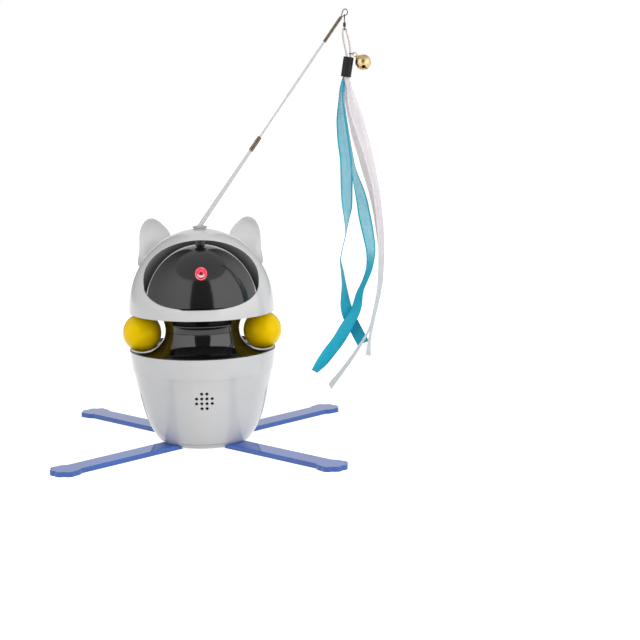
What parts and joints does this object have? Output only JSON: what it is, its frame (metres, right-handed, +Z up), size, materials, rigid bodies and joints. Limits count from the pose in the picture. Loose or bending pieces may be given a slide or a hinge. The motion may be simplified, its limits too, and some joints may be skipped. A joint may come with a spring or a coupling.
{
  "type": "automatic cat laser toy",
  "caption": "Egg-shaped cat toy on plug-in legs: laser turret behind a visor, balls in a track round its neck, and a turning wand with a ribbon and bell lure.",
  "frame": {"origin": "on the body's vertical axis, at the face that rests on the floor", "axes": "+Z up along the body's axis, front with the visor towards -Y, wand leaning towards +X at rest"},
  "size_m": [0.2682, 0.2376, 0.3489],
  "materials": {
    "shell_white": "glossy moulded white plastic",
    "track_black": "glossy moulded black plastic",
    "turret_black": "polished smoky black plastic",
    "liner_black": "matt black plastic",
    "ball_yellow": "glossy yellow plastic",
    "leg_blue": "glossy blue plastic",
    "wand_white": "glossy white plastic",
    "cap_grey": "satin pale grey plastic",
    "ferrule_bronze": "dark bronze plated metal",
    "steel_wire": "bare drawn steel wire",
    "bell_brass": "polished brass",
    "sleeve_black": "black rubber tube",
    "elastic_white": "white covered elastic",
    "ribbon_blue": "sheer blue organza with a closed edge",
    "ribbon_white": "sheer white organza with a looped edge",
    "bundle_fabric": "gathered ribbon ends",
    "bezel_red": "translucent red light ring",
    "eye_black": "matt black plastic",
    "module_brass": "turned brass",
    "lens_clear": "clear lens",
    "gear_natural": "natural acetal",
    "motor_steel": "nickel plated can",
    "screw_steel": "zinc plated steel",
    "board_green": "solder-masked circuit board",
    "cell_wrap": "shrink-wrapped cell",
    "holder_black": "matt black plastic",
    "speaker_black": "coated paper cone in a steel frame",
    "usb_steel": "stamped stainless shell",
    "switch_black": "matt black plastic",
    "button_grey": "satin grey plastic",
    "bushing_natural": "natural acetal"
  },
  "bodies": {
    "base": {"body_shell": "shell_white", "base_plate": "shell_white", "base_screws": "screw_steel", "battery_cell": "cell_wrap", "battery_holder": "holder_black", "main_circuit_board": "board_green", "board_screws": "screw_steel", "usb_c_socket": "usb_steel", "power_switch": "switch_black", "speaker_driver": "speaker_black", "track_lower": "track_black", "track_upper": "track_black", "head_shell": "shell_white", "head_liner": "liner_black", "head_deck": "holder_black", "head_screws": "screw_steel", "motor_screws": "screw_steel", "wand_gearmotor": "motor_steel", "turret_gearmotor": "motor_steel", "turret_clip": "steel_wire", "wand_bushing": "bushing_natural"},
    "power_button": {"power_button": "button_grey"},
    "ball_left": {"ball_left": "ball_yellow"},
    "ball_right": {"ball_right": "ball_yellow"},
    "turret": {"turret_ring_gear": "gear_natural", "turret_plate": "liner_black", "turret_shell": "turret_black", "turret_screws": "screw_steel", "eye_socket": "eye_black", "laser_bezel": "bezel_red"},
    "turret_pinion": {"turret_pinion": "gear_natural"},
    "laser_eye": {"laser_eye": "eye_black", "laser_module": "module_brass", "laser_lens": "lens_clear"},
    "wand": {"wand_socket": "cap_grey", "wand_tube": "wand_white", "wand_ferrule": "ferrule_bronze"},
    "wand_tip": {"wand_rod": "wand_white", "wand_tip_sleeve": "ferrule_bronze", "wand_tip_loop": "steel_wire"},
    "swivel": {"swivel_eye": "steel_wire"},
    "lure": {"swivel_hook": "steel_wire", "elastic_loop": "elastic_white", "lure_sleeve": "sleeve_black", "ribbon_bundle": "bundle_fabric", "ribbon_blue_short": "ribbon_blue", "ribbon_blue_long": "ribbon_blue", "ribbon_white_long": "ribbon_white", "ribbon_white_short": "ribbon_white", "bell_ring": "steel_wire"},
    "bell": {"bell_shell": "bell_brass", "bell_pellet": "steel_wire"},
    "leg_back_right": {"leg_back_right": "leg_blue"},
    "leg_back_left": {"leg_back_left": "leg_blue"},
    "leg_front_left": {"leg_front_left": "leg_blue"},
    "leg_front_right": {"leg_front_right": "leg_blue"}
  },
  "joints": [
    {"name": "button_press", "type": "slide", "parent": "base", "child": "power_button", "axis": [0, -1, 0], "range_m": [0, 0.001], "stiffness_N_per_m": 300},
    {"name": "ball_left_roll", "type": "hinge", "parent": "base", "child": "ball_left", "pos_m": [0, 0, 0], "axis": [0, 0, 1], "range_deg": [-70, 70]},
    {"name": "ball_right_roll", "type": "hinge", "parent": "base", "child": "ball_right", "pos_m": [0, 0, 0], "axis": [0, 0, 1], "range_deg": [-70, 70]},
    {"name": "turret_yaw", "type": "hinge", "parent": "base", "child": "turret", "pos_m": [0, 0, 0], "axis": [0, 0, 1], "range_deg": [-60, 60]},
    {"name": "pinion_spin", "type": "hinge", "parent": "base", "child": "turret_pinion", "pos_m": [0, 0.018, 0.1161], "axis": [0, 0, 1], "range_deg": [-240, 240]},
    {"name": "laser_pitch", "type": "hinge", "parent": "turret", "child": "laser_eye", "pos_m": [0, -0.03126, 0.143], "axis": [1, 0, 0], "range_deg": [-14, 14]},
    {"name": "wand_spin", "type": "hinge", "parent": "base", "child": "wand", "pos_m": [0, 0, 0], "axis": [0, 0, 1], "continuous": true},
    {"name": "wand_extend", "type": "slide", "parent": "wand", "child": "wand_tip", "axis": [0.5779, 0, 0.8161], "range_m": [-0.02, 0.015]},
    {"name": "lure_swing", "type": "hinge", "parent": "wand_tip", "child": "swivel", "pos_m": [0.11939, 0, 0.34591], "axis": [0, 1, 0], "range_deg": [-50, 5]},
    {"name": "lure_spin", "type": "hinge", "parent": "swivel", "child": "lure", "pos_m": [0.11939, 0, 0.336], "axis": [0, 0, 1], "continuous": true},
    {"name": "bell_swing", "type": "hinge", "parent": "lure", "child": "bell", "pos_m": [0.1268, 0, 0.3131], "axis": [0, 1, 0], "range_deg": [-40, 6]},
    {"name": "leg_back_right_pull", "type": "slide", "parent": "base", "child": "leg_back_right", "axis": [0.7431, 0.6691, 0], "range_m": [0, 0.024]},
    {"name": "leg_back_left_pull", "type": "slide", "parent": "base", "child": "leg_back_left", "axis": [-0.6691, 0.7431, 0], "range_m": [0, 0.024]},
    {"name": "leg_front_left_pull", "type": "slide", "parent": "base", "child": "leg_front_left", "axis": [-0.7431, -0.6691, 0], "range_m": [0, 0.024]},
    {"name": "leg_front_right_pull", "type": "slide", "parent": "base", "child": "leg_front_right", "axis": [0.6691, -0.7431, 0], "range_m": [0, 0.024]}
  ],
  "couplings": [
    {"joint": "pinion_spin", "follows": "turret_yaw", "ratio": 4}
  ]
}
